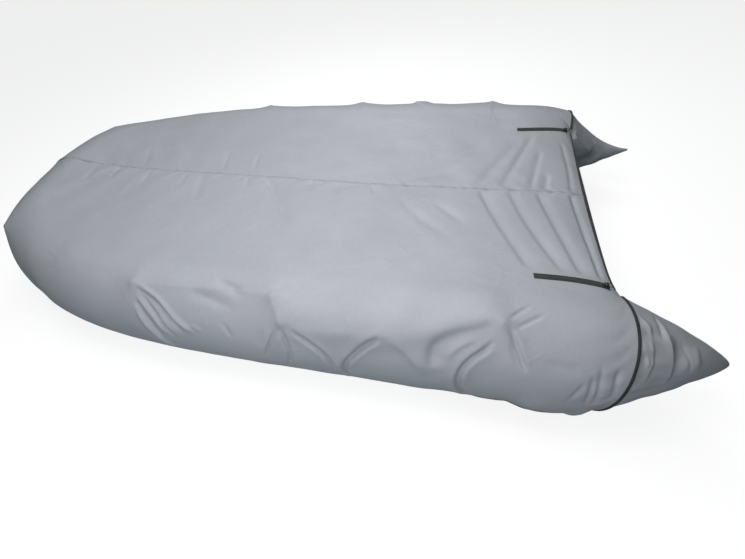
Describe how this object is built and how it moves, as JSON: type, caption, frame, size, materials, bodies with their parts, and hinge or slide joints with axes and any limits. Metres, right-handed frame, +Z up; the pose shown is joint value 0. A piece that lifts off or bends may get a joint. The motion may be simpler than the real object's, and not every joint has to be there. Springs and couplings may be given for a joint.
{
  "type": "inflatable dinghy cover",
  "caption": "Fitted fabric cover for an inflatable dinghy: blunt round bow, centre seam, conical pockets over the tube ends, bound edges and a zip at each stern corner.",
  "frame": {"origin": "on the centre line under the middle of the top, at the place where the boat holds the cover up", "axes": "+X to the stern, along the longest extent; +Y to starboard; +Z up, the shortest extent"},
  "size_m": [2.9815, 1.659, 0.4541],
  "materials": {
    "cloth": "grey coated polyester, soft satin",
    "binding": "black woven tape, matt",
    "zip_tape": "dark olive-grey coated zip",
    "slider": "black lacquered"
  },
  "bodies": {
    "root": {"panel_port": "cloth", "pocket_port": "cloth", "ring_binding_port": "binding", "hem_binding_port": "binding", "zip_port": "zip_tape", "zip_slider_port": "slider", "zip_pull_port": "slider", "panel_starboard": "cloth", "pocket_starboard": "cloth", "ring_binding_starboard": "binding", "hem_binding_starboard": "binding", "zip_starboard": "zip_tape", "zip_slider_starboard": "slider", "zip_pull_starboard": "slider", "transom_binding": "binding"}
  },
  "joints": []
}
